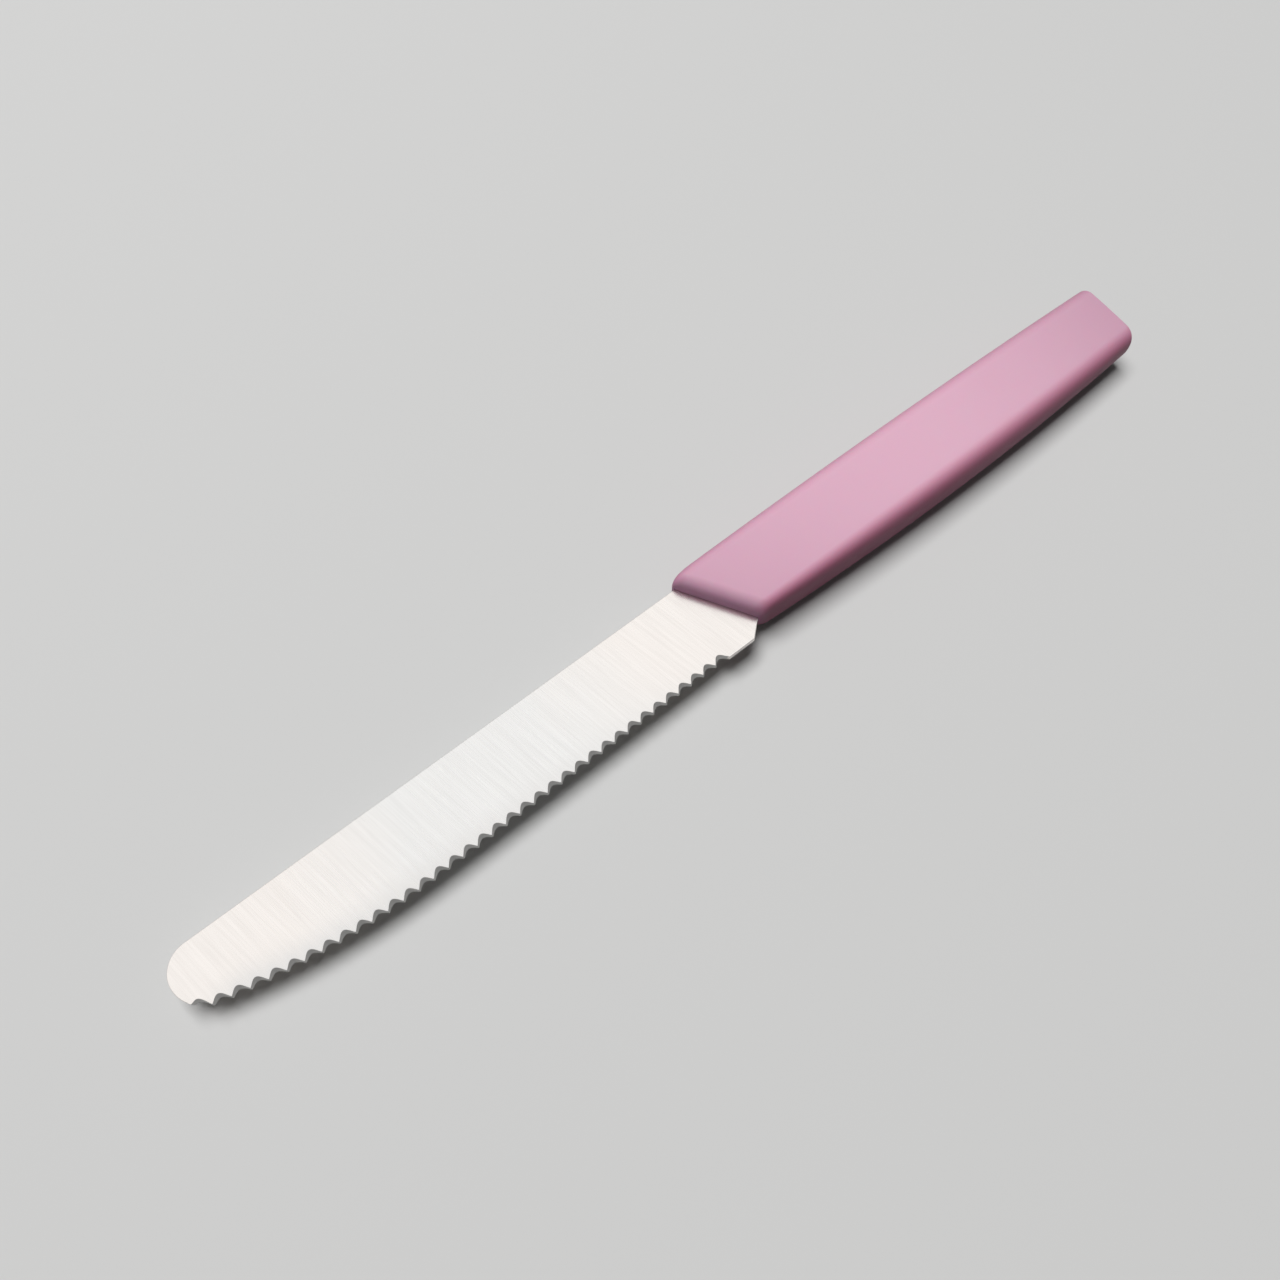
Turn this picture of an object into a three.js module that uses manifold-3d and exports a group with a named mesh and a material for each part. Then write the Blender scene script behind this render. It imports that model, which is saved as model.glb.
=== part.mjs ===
import * as THREE from 'three';
import { mergeVertices } from 'three/addons/utils/BufferGeometryUtils.js';
import Module from 'manifold-3d';

// Table knife: a stamped, scallop-edged steel blade with its tang moulded into a plastic handle.
// Millimetres. +X runs from the butt to the nose, +Y from the spine to the cutting edge, and +Z is up,
// out of the blade's flat side. While the pieces are drawn, x = 0 is the middle of the handle's slanted
// front, y = 0 is the spine and z = 0 is the middle of the blade's thickness.

// Blade
const bladeLength = 110; // middle of the handle's front to the nose
const bladeWidth = 16.5; // spine to tooth tips
const bladeStock = 1.1;
const noseSpineRadius = 4.9; // round of the nose on the spine's side
const edgeSweepLength = 41.8; // the stretch before the nose where the edge curves up
const edgeSweepRadius = 131;

// Heel, the plain stretch between the handle and the teeth
const heelProud = 0.4; // heel's edge beyond the tooth tips
const heelInset = 0.6; // chamfer's end, in from the handle's edge side
const heelChamferRun = 3.1; // along the blade, from the handle to the flat
const heelFlatLength = 5.9;
const heelDrop = 0.2; // along the blade, from the flat's end down to the first tooth tip

// Teeth, ground from the upper side, so each scallop is deeper there than on the underside
const toothPitch = 2.88;
const toothDepthUpper = 1.29;
const toothDepthLower = 0.87;
const toothSharpness = 1; // 1 gives round scallops and sharp tips, 2 an even wave
const toothRunout = 0.8; // plain nose left after the last scallop

// Tang, hidden in the handle
const tangLength = 86; // behind the middle of the handle's front
const tangWidth = 9;
const tangEndRadius = 2;
const tangHoleDiameter = 5;
const tangHoleSpacing = 42;
const tangHoleFirst = 22; // first hole, behind the middle of the handle's front

// Handle
const handleLength = 108.8;
const frontSlant = 30.5; // degrees off square, the spine's side further forward
const buttSlant = 6.3; // degrees off square, the spine's side further back
const frontWidth = 16.2;
const middleWidth = 18.35;
const buttWidth = 16.55;
const frontOverhang = 1.35; // handle's spine side beyond the blade's spine
const middleOverhang = 1.68;
const buttOverhang = 0.75;
const frontThickness = 9.4;
const middleThickness = 11.6;
const buttThickness = 8.2;
const sideRound = 3; // across the handle, from the end of its flat face to its side
const sideBand = 0.8; // straight band along the middle of each side
const frontRound = 2.1; // along the handle, from its front to the start of its flat face
const frontRoundDrop = 2.6; // how far the flat face falls over that length
const frontSpineCorner = 1.3; // rounds of the front's two corners, seen from above
const frontEdgeCorner = 0.6;
const buttEdgeRadius = 1;

// Fits
const seatGap = 0.3; // blade's shoulders to the handle's front
const tangClearance = 0.3; // handle's slot and pegs round the tang

// Fineness of the curves
const stepsPerTooth = 8;
const stepsPerNoseArc = 10;
const stepsPerCorner = 5;
const stepsAlongHandle = 12;
const stepsPerHole = 24;
const mergeTolerance = 1e-5;

const steelFinish = new THREE.MeshStandardMaterial({ color: 0xd9d7d4, roughness: 0.3, metalness: 1 });
const plasticFinish = new THREE.MeshStandardMaterial({ color: 0xcf98b2, roughness: 0.5, metalness: 0 });

const wasm = await Module();
wasm.setup();

function toSolid(geometry) {
  const bare = geometry.index ? geometry.toNonIndexed() : geometry.clone();
  bare.deleteAttribute('normal');
  bare.deleteAttribute('uv');
  const merged = mergeVertices(bare, mergeTolerance);
  const vertProperties = new Float32Array(merged.attributes.position.array);
  const triVerts = new Uint32Array(merged.index.array);
  return new wasm.Manifold(new wasm.Mesh({ numProp: 3, vertProperties, triVerts }));
}

function toGeometry(solid) {
  const mesh = solid.getMesh();
  const geometry = new THREE.BufferGeometry();
  geometry.setAttribute('position', new THREE.BufferAttribute(new Float32Array(mesh.vertProperties), 3));
  geometry.setIndex(new THREE.BufferAttribute(new Uint32Array(mesh.triVerts), 1));
  geometry.computeVertexNormals();
  return geometry;
}

// Collects triangles point by point, for the shapes that no ready-made geometry gives.
class TriangleList {
  constructor() {
    this.coordinates = [];
  }

  triangle(a, b, c) {
    for (const point of [a, b, c]) this.coordinates.push(point.x, point.y, point.z);
  }

  // A wall between two closed rings of equally many points.
  wall(lower, upper) {
    lower.forEach((point, i) => {
      const next = (i + 1) % lower.length;
      this.triangle(point, lower[next], upper[next]);
      this.triangle(point, upper[next], upper[i]);
    });
  }

  geometry() {
    const geometry = new THREE.BufferGeometry();
    geometry.setAttribute('position', new THREE.Float32BufferAttribute(this.coordinates, 3));
    const merged = mergeVertices(geometry, mergeTolerance);
    merged.computeVertexNormals();
    return merged;
  }
}

const radians = THREE.MathUtils.degToRad;

// A smooth run through three values, at the front, the middle and the butt of the handle.
function throughThree(front, middle, butt, along) {
  const atFront = (1 - along) * (1 - 2 * along);
  const atMiddle = 4 * along * (1 - along);
  const atButt = along * (2 * along - 1);
  return front * atFront + middle * atMiddle + butt * atButt;
}

const spineSide = (along) => -throughThree(frontOverhang, middleOverhang, buttOverhang, along);
const handleWidth = (along) => throughThree(frontWidth, middleWidth, buttWidth, along);
const handleThickness = (along) => throughThree(frontThickness, middleThickness, buttThickness, along);

const frontMiddle = spineSide(0) + handleWidth(0) / 2;
const buttMiddle = spineSide(1) + handleWidth(1) / 2;
const frontX = (y) => -Math.tan(radians(frontSlant)) * (y - frontMiddle);
const buttX = (y) => -handleLength + Math.tan(radians(buttSlant)) * (y - buttMiddle);
const shoulderX = (y) => frontX(y) + seatGap / Math.cos(radians(frontSlant));

// The cutting side of the plain blank: straight, then an arc up to the nose, then the nose's own arc,
// whose radius makes it tangent to that arc and upright at the very end of the blade.
const sweepStart = bladeLength - edgeSweepLength;
const sweepCentreY = bladeWidth - edgeSweepRadius;
const noseRise = noseSpineRadius - sweepCentreY;
const noseEdgeRadius = (edgeSweepRadius ** 2 - edgeSweepLength ** 2 - noseRise ** 2)
  / (2 * (edgeSweepRadius - edgeSweepLength));
const noseEdgeCentreX = bladeLength - noseEdgeRadius;
const noseJoinX = sweepStart
  + (edgeSweepRadius * (noseEdgeCentreX - sweepStart)) / (edgeSweepRadius - noseEdgeRadius);

function blankEdge(x) {
  if (x <= sweepStart) return bladeWidth;
  if (x <= noseJoinX) return sweepCentreY + Math.sqrt(edgeSweepRadius ** 2 - (x - sweepStart) ** 2);
  return noseSpineRadius + Math.sqrt(noseEdgeRadius ** 2 - (x - noseEdgeCentreX) ** 2);
}

const heelEndY = spineSide(0) + handleWidth(0) - heelInset;
const heelFlatStart = shoulderX(heelEndY) + heelChamferRun;
const heelFlatEnd = heelFlatStart + heelFlatLength;
const toothStart = heelFlatEnd + heelDrop;
const toothCount = Math.floor((bladeLength - toothRunout - toothStart) / toothPitch);
const toothEnd = toothStart + toothCount * toothPitch;

// The toothed stretch, from the heel to the nose, at one of the blade's two faces.
function teeth(depth, z) {
  const points = [];
  for (let step = 0; step <= toothCount * stepsPerTooth; step += 1) {
    const turn = step / stepsPerTooth;
    const x = toothStart + turn * toothPitch;
    const scallop = Math.abs(Math.sin(Math.PI * turn)) ** toothSharpness;
    points.push(new THREE.Vector3(x, blankEdge(x) - depth * scallop, z));
  }
  return points;
}

function arc(centreX, centreY, radius, from, to, steps, z) {
  const points = [];
  for (let step = 0; step <= steps; step += 1) {
    const angle = THREE.MathUtils.lerp(from, to, step / steps);
    const x = centreX + radius * Math.cos(angle);
    const y = centreY + radius * Math.sin(angle);
    points.push(new THREE.Vector3(x, y, z));
  }
  return points;
}

// The blade's outline at one face, in stretches that share their end points.
function bladeFace(depth, z) {
  const at = (x, y) => new THREE.Vector3(x, y, z);
  const toothed = teeth(depth, z);
  const lastAngle = Math.acos((toothEnd - noseEdgeCentreX) / noseEdgeRadius);
  const noseTip = at(bladeLength, noseSpineRadius);
  const noseLower = arc(noseEdgeCentreX, noseSpineRadius, noseEdgeRadius, lastAngle, 0, stepsPerNoseArc, z);
  const noseUpper = arc(bladeLength - noseSpineRadius, noseSpineRadius, noseSpineRadius,
    0, -Math.PI / 2, stepsPerNoseArc, z);
  const heel = [
    at(shoulderX(heelEndY), heelEndY),
    at(heelFlatStart, bladeWidth + heelProud),
    at(heelFlatEnd, bladeWidth + heelProud),
  ];
  const tangSpineY = frontMiddle - tangWidth / 2;
  const tangEdgeY = frontMiddle + tangWidth / 2;
  const spineShoulder = [at(shoulderX(0), 0), at(shoulderX(tangSpineY), tangSpineY)];
  const tangEnd = [
    ...arc(tangEndRadius - tangLength, tangSpineY + tangEndRadius, tangEndRadius,
      1.5 * Math.PI, Math.PI, stepsPerCorner, z),
    ...arc(tangEndRadius - tangLength, tangEdgeY - tangEndRadius, tangEndRadius,
      Math.PI, 0.5 * Math.PI, stepsPerCorner, z),
  ];
  const tangRoot = at(shoulderX(tangEdgeY), tangEdgeY);
  return {
    outline: [...heel, ...toothed, ...noseLower.slice(1, -1), noseTip, ...noseUpper.slice(1),
      ...spineShoulder, ...tangEnd, tangRoot],
    toothedStrip: [...heel, ...toothed, ...noseLower.slice(1, -1), noseTip],
    plainPanel: [heel[0], noseTip, ...noseUpper.slice(1), ...spineShoulder, tangRoot],
    tang: [spineShoulder[1], ...tangEnd, tangRoot],
  };
}

const tangHoleCentres = [-tangHoleFirst, -tangHoleFirst - tangHoleSpacing];

function tangHoles(z) {
  const full = 2 * Math.PI;
  return tangHoleCentres.map((x) =>
    arc(x, frontMiddle, tangHoleDiameter / 2, 0, full, stepsPerHole, z).slice(0, -1));
}

function fillFace(list, contour, holes, facesUp) {
  const flat = (points) => points.map((point) => new THREE.Vector2(point.x, point.y));
  const isClockwise = THREE.ShapeUtils.isClockWise(flat(contour));
  const ring = isClockwise ? [...contour].reverse() : contour;
  const inner = holes.map((hole) => [...hole].reverse());
  const all = [...ring, ...inner.flat()];
  for (const [a, b, c] of THREE.ShapeUtils.triangulateShape(flat(ring), inner.map(flat))) {
    if (facesUp) list.triangle(all[a], all[b], all[c]);
    else list.triangle(all[a], all[c], all[b]);
  }
}

function makeBlade() {
  const half = bladeStock / 2;
  const lower = bladeFace(toothDepthLower, -half);
  const upper = bladeFace(toothDepthUpper, half);
  const lowerHoles = tangHoles(-half);
  const upperHoles = tangHoles(half);
  const list = new TriangleList();
  for (const [face, holes, facesUp] of [[lower, lowerHoles, false], [upper, upperHoles, true]]) {
    fillFace(list, face.toothedStrip, [], facesUp);
    fillFace(list, face.plainPanel, [], facesUp);
    fillFace(list, face.tang, holes, facesUp);
  }
  list.wall(upper.outline, lower.outline);
  lowerHoles.forEach((hole, i) => list.wall(upperHoles[i], hole));
  return new THREE.Mesh(list.geometry(), steelFinish);
}

// How far a rounded edge draws a section in, at a depth behind the face that the edge borders.
const drawnIn = (radius, depth) => radius - Math.sqrt(Math.max(radius ** 2 - (radius - depth) ** 2, 0));

// One section of the handle: flat faces that curve down to the sides, its points at x given by their own y.
function handleSection(along, xAt, flatter, spineIn, edgeIn) {
  const low = spineSide(along) + spineIn;
  const high = spineSide(along) + handleWidth(along) - edgeIn;
  const halfThickness = handleThickness(along) / 2 - flatter;
  const cornerHeight = halfThickness - sideBand / 2;
  const points = [];
  const corners = [[high, 1, 0], [low, 1, 1], [low, -1, 2], [high, -1, 3]];
  for (const [side, up, quarter] of corners) {
    const inward = side === high ? -1 : 1;
    for (let step = 0; step <= stepsPerCorner; step += 1) {
      const angle = (quarter + step / stepsPerCorner) * (Math.PI / 2);
      const y = side + inward * sideRound + sideRound * Math.cos(angle);
      const z = up * (halfThickness - cornerHeight) + cornerHeight * Math.sin(angle);
      points.push(new THREE.Vector3(xAt(y), y, z));
    }
  }
  return points;
}

function handleBody() {
  const sections = [];
  const slantStretch = 1 / Math.cos(radians(frontSlant));
  for (let step = 0; step < stepsPerCorner; step += 1) {
    const depth = frontRound * (1 - Math.cos((step / stepsPerCorner) * (Math.PI / 2)));
    const xAt = (y) => frontX(y) - depth * slantStretch;
    const flatter = drawnIn(frontRound, depth) * (frontRoundDrop / frontRound);
    const spineIn = drawnIn(frontSpineCorner, Math.min(depth, frontSpineCorner));
    const edgeIn = drawnIn(frontEdgeCorner, Math.min(depth, frontEdgeCorner));
    sections.push(handleSection(depth / handleLength, xAt, flatter, spineIn, edgeIn));
  }
  for (let step = 0; step <= stepsAlongHandle; step += 1) {
    const share = step / stepsAlongHandle;
    const xAt = (y) => THREE.MathUtils.lerp(frontX(y) - frontRound * slantStretch,
      buttX(y) + buttEdgeRadius, share);
    const along = THREE.MathUtils.lerp(frontRound, handleLength - buttEdgeRadius, share) / handleLength;
    sections.push(handleSection(along, xAt, 0, 0, 0));
  }
  for (let step = stepsPerCorner - 1; step >= 0; step -= 1) {
    const depth = buttEdgeRadius * (1 - Math.cos((step / stepsPerCorner) * (Math.PI / 2)));
    const inset = drawnIn(buttEdgeRadius, depth);
    const xAt = (y) => buttX(y) + depth;
    sections.push(handleSection(1 - depth / handleLength, xAt, inset, inset, inset));
  }
  const list = new TriangleList();
  for (let i = 1; i < sections.length; i += 1) list.wall(sections[i], sections[i - 1]);
  const across = (point) => new THREE.Vector2(point.y, point.z);
  const first = sections[0];
  const last = sections.at(-1);
  for (const [a, b, c] of THREE.ShapeUtils.triangulateShape(first.map(across), [])) {
    list.triangle(first[a], first[b], first[c]);
  }
  for (const [a, b, c] of THREE.ShapeUtils.triangulateShape(last.map(across), [])) {
    list.triangle(last[a], last[c], last[b]);
  }
  return list.geometry();
}

function pegs() {
  const radius = tangHoleDiameter / 2 - tangClearance;
  return tangHoleCentres.map((x) => {
    const peg = new THREE.CylinderGeometry(radius, radius, middleThickness, stepsPerHole);
    peg.rotateX(Math.PI / 2);
    peg.translate(x, frontMiddle, 0);
    return toSolid(peg);
  });
}

function makeHandle() {
  const slotStart = frontX(frontMiddle - tangWidth / 2 - tangClearance) + frontRound;
  const slotEnd = -tangLength - tangClearance;
  const slotBlock = new THREE.BoxGeometry(slotStart - slotEnd, tangWidth + 2 * tangClearance,
    bladeStock + 2 * tangClearance);
  slotBlock.translate((slotStart + slotEnd) / 2, frontMiddle, 0);
  const slot = pegs().reduce((left, peg) => left.subtract(peg), toSolid(slotBlock));
  return new THREE.Mesh(toGeometry(toSolid(handleBody()).subtract(slot)), plasticFinish);
}

const knife = new THREE.Group();
const blade = makeBlade();
blade.name = 'blade';
const handle = makeHandle();
handle.name = 'handle';
knife.add(blade, handle);

// The origin is the middle of the knife's box, at its underside.
const box = new THREE.Box3().setFromObject(knife);
const middle = box.getCenter(new THREE.Vector3());
knife.position.set(-middle.x, -middle.y, -box.min.z);

export default knife;
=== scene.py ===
import math
import bmesh
import bpy
from mathutils import Matrix, Vector


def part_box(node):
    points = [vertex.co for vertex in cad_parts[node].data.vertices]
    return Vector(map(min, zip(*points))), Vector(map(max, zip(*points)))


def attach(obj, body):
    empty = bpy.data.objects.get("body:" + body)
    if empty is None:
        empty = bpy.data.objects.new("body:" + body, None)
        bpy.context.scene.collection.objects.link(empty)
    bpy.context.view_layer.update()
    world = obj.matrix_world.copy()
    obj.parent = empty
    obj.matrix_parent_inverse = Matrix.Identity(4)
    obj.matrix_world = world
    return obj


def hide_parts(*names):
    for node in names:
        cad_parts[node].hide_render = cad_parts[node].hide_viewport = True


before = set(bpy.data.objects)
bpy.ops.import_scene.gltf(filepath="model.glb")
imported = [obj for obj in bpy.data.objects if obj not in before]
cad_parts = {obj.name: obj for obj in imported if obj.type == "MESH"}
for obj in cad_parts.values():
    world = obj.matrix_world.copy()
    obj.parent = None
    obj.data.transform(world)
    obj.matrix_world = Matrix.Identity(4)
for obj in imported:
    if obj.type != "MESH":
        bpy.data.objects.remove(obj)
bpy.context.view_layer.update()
print("frame loaded:", ", ".join(sorted(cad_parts)))

mm = 0.001
scene = bpy.context.scene
scene.view_settings.view_transform = "Standard"

# the pieces are drawn in mm: x = 0 at the middle of the handle's front, y = 0 at the spine,
# z = 0 in the middle of the blade's stock
noseX = 110.0
bladeLow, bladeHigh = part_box("blade")
drawingOrigin = (bladeHigh.x - noseX * mm, bladeLow.y, (bladeLow.z + bladeHigh.z) / 2)


def place(point):
    return tuple(origin + value * mm for origin, value in zip(drawingOrigin, point))


def clamp(value):
    return min(max(value, 0.0), 1.0)


def smoothMesh(mesh, sharpAngle):
    work = bmesh.new()
    work.from_mesh(mesh)
    bmesh.ops.recalc_face_normals(work, faces=work.faces)
    work.to_mesh(mesh)
    work.free()
    mesh.shade_smooth()
    mesh.set_sharp_from_angle(angle=math.radians(sharpAngle))


def addNode(tree, kind, values=None, **settings):
    node = tree.nodes.new(kind)
    for name, value in settings.items():
        setattr(node, name, value)
    for name, value in (values or {}).items():
        node.inputs[name].default_value = value
    return node


def plug(tree, value, socket):
    if isinstance(value, bpy.types.NodeSocket):
        tree.links.new(value, socket)
    elif value is not None:
        socket.default_value = value


def calc(tree, operation, first, second=None, third=None):
    node = addNode(tree, "ShaderNodeMath", operation=operation)
    for socket, value in zip(node.inputs, (first, second, third)):
        plug(tree, value, socket)
    return node.outputs[0]


def remap(tree, value, fromLow, fromHigh, toLow, toHigh):
    node = addNode(tree, "ShaderNodeMapRange", {"From Min": fromLow, "From Max": fromHigh,
                                                "To Min": toLow, "To Max": toHigh})
    plug(tree, value, node.inputs["Value"])
    return node.outputs["Result"]


def mixColour(tree, factor, first, second, blend="MIX"):
    node = addNode(tree, "ShaderNodeMix", data_type="RGBA", blend_type=blend)
    plug(tree, factor, node.inputs[0])
    plug(tree, first, node.inputs[6])
    plug(tree, second, node.inputs[7])
    return node.outputs[2]


# marks that the finishes share, in plain numbers
finishMarks = {
    "bandShare": 0.34,  # broad bands for each fine line
    "bandHeight": 0.4,  # against 1 for the fine lines
    "bandDetail": 2.0,
    "lineDetail": 3.0,
    "lineRoughness": 0.6,
    "driftDetail": 3.0,
    "grainDetail": 2.0,
    "unpitted": 0.8,  # share of the cells without a pit
    "pitCore": 0.006,
    "pitRim": 0.014,
    "noiseSpread": (0.3, 0.7),  # where most of a noise lies
    "toneSpread": (0.36, 0.64),  # where most of two noises' average lies
}


def spreadNoise(tree, noise, low, high):
    return remap(tree, noise, *finishMarks["noiseSpread"], low, high)


def newGroup(name, inputs, outputs, outputKind="NodeSocketFloat"):
    group = bpy.data.node_groups.new(name, "ShaderNodeTree")
    for socketName, kind, value in inputs:
        socket = group.interface.new_socket(socketName, in_out="INPUT", socket_type=kind)
        if value is not None:
            socket.default_value = value
    for socketName in outputs:
        group.interface.new_socket(socketName, in_out="OUTPUT", socket_type=outputKind)
    return group, group.nodes.new("NodeGroupInput").outputs, group.nodes.new("NodeGroupOutput").inputs


def stretchedNoise(group, vector, across, along, detail):
    stretch = addNode(group, "ShaderNodeCombineXYZ")
    plug(group, across, stretch.inputs["X"])
    plug(group, along, stretch.inputs["Y"])
    plug(group, across, stretch.inputs["Z"])
    scaled = addNode(group, "ShaderNodeVectorMath", operation="MULTIPLY")
    plug(group, vector, scaled.inputs[0])
    plug(group, stretch.outputs[0], scaled.inputs[1])
    noise = addNode(group, "ShaderNodeTexNoise", {"Scale": 1.0, "Detail": detail,
                                                  "Roughness": finishMarks["lineRoughness"]})
    plug(group, scaled.outputs[0], noise.inputs["Vector"])
    return noise.outputs["Fac"]


# lines left by a belt, long along local Y and fine across it
def makeBrushLines():
    group, given, made = newGroup("brushLines", [
        ("Vector", "NodeSocketVector", None),
        ("Lines per Metre", "NodeSocketFloat", 2500.0),
        ("Line Length", "NodeSocketFloat", 0.012),
    ], ["Bands", "Lines", "Height"])
    along = calc(group, "DIVIDE", 1.0, given["Line Length"])
    fine = given["Lines per Metre"]
    broad = calc(group, "MULTIPLY", fine, finishMarks["bandShare"])
    bands = stretchedNoise(group, given["Vector"], broad, along, finishMarks["bandDetail"])
    lines = stretchedNoise(group, given["Vector"], fine, along, finishMarks["lineDetail"])
    plug(group, bands, made["Bands"])
    plug(group, lines, made["Lines"])
    plug(group, calc(group, "MULTIPLY_ADD", bands, finishMarks["bandHeight"], lines), made["Height"])
    return group


# slow drift of tone, fine grain, and a few tiny pits
def makeFaintMarks():
    group, given, made = newGroup("faintMarks", [
        ("Vector", "NodeSocketVector", None),
        ("Patches per Metre", "NodeSocketFloat", 40.0),
        ("Grains per Metre", "NodeSocketFloat", 6000.0),
        ("Pits per Metre", "NodeSocketFloat", 60.0),
    ], ["Drift", "Grain", "Pits"])
    for name, scaleName, detailName in (("Drift", "Patches per Metre", "driftDetail"),
                                        ("Grain", "Grains per Metre", "grainDetail")):
        noise = addNode(group, "ShaderNodeTexNoise", {"Detail": finishMarks[detailName]})
        plug(group, given["Vector"], noise.inputs["Vector"])
        plug(group, given[scaleName], noise.inputs["Scale"])
        plug(group, noise.outputs["Fac"], made[name])
    cells = addNode(group, "ShaderNodeTexVoronoi", {"Randomness": 1.0})
    plug(group, given["Vector"], cells.inputs["Vector"])
    plug(group, given["Pits per Metre"], cells.inputs["Scale"])
    red = addNode(group, "ShaderNodeSeparateColor")
    plug(group, cells.outputs["Color"], red.inputs[0])
    pitted = calc(group, "GREATER_THAN", red.outputs[0], finishMarks["unpitted"])
    near = remap(group, cells.outputs["Distance"],
                 finishMarks["pitCore"], finishMarks["pitRim"], 1.0, 0.0)
    plug(group, calc(group, "MULTIPLY", pitted, near), made["Pits"])
    return group


# the average of two noises, from a dark colour to a light one
def makeSteelTone():
    group, given, made = newGroup("steelTone", [
        ("First Noise", "NodeSocketFloat", 0.5),
        ("Second Noise", "NodeSocketFloat", 0.5),
        ("Dark", "NodeSocketColor", None),
        ("Light", "NodeSocketColor", None),
    ], ["Colour"], "NodeSocketColor")
    both = calc(group, "ADD", given["First Noise"], given["Second Noise"])
    tone = remap(group, calc(group, "MULTIPLY", both, 0.5), *finishMarks["toneSpread"], 0.0, 1.0)
    plug(group, mixColour(group, tone, given["Dark"], given["Light"]), made["Colour"])
    return group


brushLines = makeBrushLines()
faintMarks = makeFaintMarks()
steelTone = makeSteelTone()
print("shader groups ready")


def useGroup(tree, group, values):
    node = addNode(tree, "ShaderNodeGroup", node_tree=group)
    for name, value in values.items():
        plug(tree, value, node.inputs[name])
    return node.outputs


def newFinish(name, constants):
    material = bpy.data.materials.new(name)
    material.use_nodes = True
    tree = material.node_tree
    shader = tree.nodes["Principled BSDF"]
    for socketName, value in constants.items():
        shader.inputs[socketName].default_value = value
    coordinates = addNode(tree, "ShaderNodeTexCoord").outputs["Object"]
    return material, tree, shader, coordinates


def turnCoordinates(tree, coordinates, turn):
    mapping = addNode(tree, "ShaderNodeMapping", {"Rotation": [math.radians(angle) for angle in turn]})
    plug(tree, coordinates, mapping.inputs["Vector"])
    return mapping.outputs[0]


def addBump(tree, shader, height, depth, strength):
    bump = addNode(tree, "ShaderNodeBump", {"Distance": depth * mm, "Strength": strength})
    plug(tree, height, bump.inputs["Height"])
    plug(tree, bump.outputs["Normal"], shader.inputs["Normal"])


# handle: mm, degrees and plain numbers, each triple of sizes at its front, middle and butt;
# a painted shade multiplies the colour
knifeHandle = {
    "length": 108.8,
    "frontSlant": 30.5,
    "buttSlant": 6.3,
    "widths": (16.2, 18.65, 16.3),
    "overhangs": (1.35, 1.68, 0.75),  # beyond the blade's spine
    "thicknesses": (9.4, 11.6, 8.2),
    "sideRounds": (2.0, 3.4, 3.0),
    "sideBands": (3.8, 0.8, 0.4),  # upright strip along each side
    "bandFade": 0.8,  # part of that strip lost at the two ends
    "sidePower": 0.92,  # below 1 the side's curve is fuller than an ellipse
    "frontRound": 2.1,
    "frontRoundDrop": 2.6,
    "spineCornerIn": 1.1,
    "spineCornerLength": 4.6,
    "frontEdgeCorner": 0.6,
    "buttRound": 0.5,
    "buttSpineCorner": 0.5,
    "buttEdgeCorner": 0.7,
    "crown": 0.15,
    "sectionsAlong": 72,
    "stepsPerEdge": 10,
    "pointsPerCorner": 12,
    "pointsPerFlat": 8,
    "sharpAngle": 40.0,
    "colour": (0.7, 0.422, 0.537, 1.0),
    "colourDeep": (0.694, 0.416, 0.531, 1.0),
    # painted shade: the sides are coloured darker and deeper where they turn away from the light
    "edgePaintedShade": (1.0, 0.49, 0.655),
    "spinePaintedShade": (0.8, 0.56, 0.66),
    # painted shade: the rounds at the front and the butt are tinted darker and more violet
    "frontPaintedShade": (0.97, 0.79, 0.98),
    # painted shade and sheen: the handle is coloured darker towards both ends than in the middle
    "endPaintedShade": (0.846, 0.82, 0.84),
    "lightest": 0.44,  # along the handle, where the ends' painted shade is nil: a painted sheen at its brightest
    "patchesPerMetre": 45.0,
    "grainsPerMetre": 7000.0,
    "driftSpread": (0.35, 0.65),
    "roughness": (0.4, 0.5),
    "roughDrift": 0.03,
    "grainDepth": 0.01,
    "grainStrength": 0.15,
    "refraction": 1.4,
    "specularLevel": 0.3,
    "subsurface": 0.25,
    "subsurfaceRadius": (1.0, 0.2, 0.4),
    "subsurfaceScale": 1.2,
}


# a parabola through the sizes at the front, middle and butt
def throughThree(values, along):
    front, middle, butt = values
    return (front * (1 - along) * (1 - 2 * along) + middle * 4 * along * (1 - along)
            + butt * along * (2 * along - 1))


def spineSide(along):
    return -throughThree(knifeHandle["overhangs"], along)


def edgeSide(along):
    return spineSide(along) + throughThree(knifeHandle["widths"], along)


frontMiddle = (spineSide(0) + edgeSide(0)) / 2
buttMiddle = (spineSide(1) + edgeSide(1)) / 2
frontLean = math.tan(math.radians(knifeHandle["frontSlant"]))
buttLean = math.tan(math.radians(knifeHandle["buttSlant"]))
slantStretch = 1 / math.cos(math.radians(knifeHandle["frontSlant"]))


def frontX(y):
    return -frontLean * (y - frontMiddle)


def buttX(y):
    return -knifeHandle["length"] + buttLean * (y - buttMiddle)


# how far an edge of this round is drawn in, at a depth from its end
def drawnIn(radius, depth):
    inside = max(radius - depth, 0.0)
    return radius - math.sqrt(radius ** 2 - inside ** 2)


# the front's corner at the spine, longer than it is wide
def spineCorner(depth):
    reach = knifeHandle["spineCornerLength"]
    return knifeHandle["spineCornerIn"] * drawnIn(reach, depth) / reach


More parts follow.
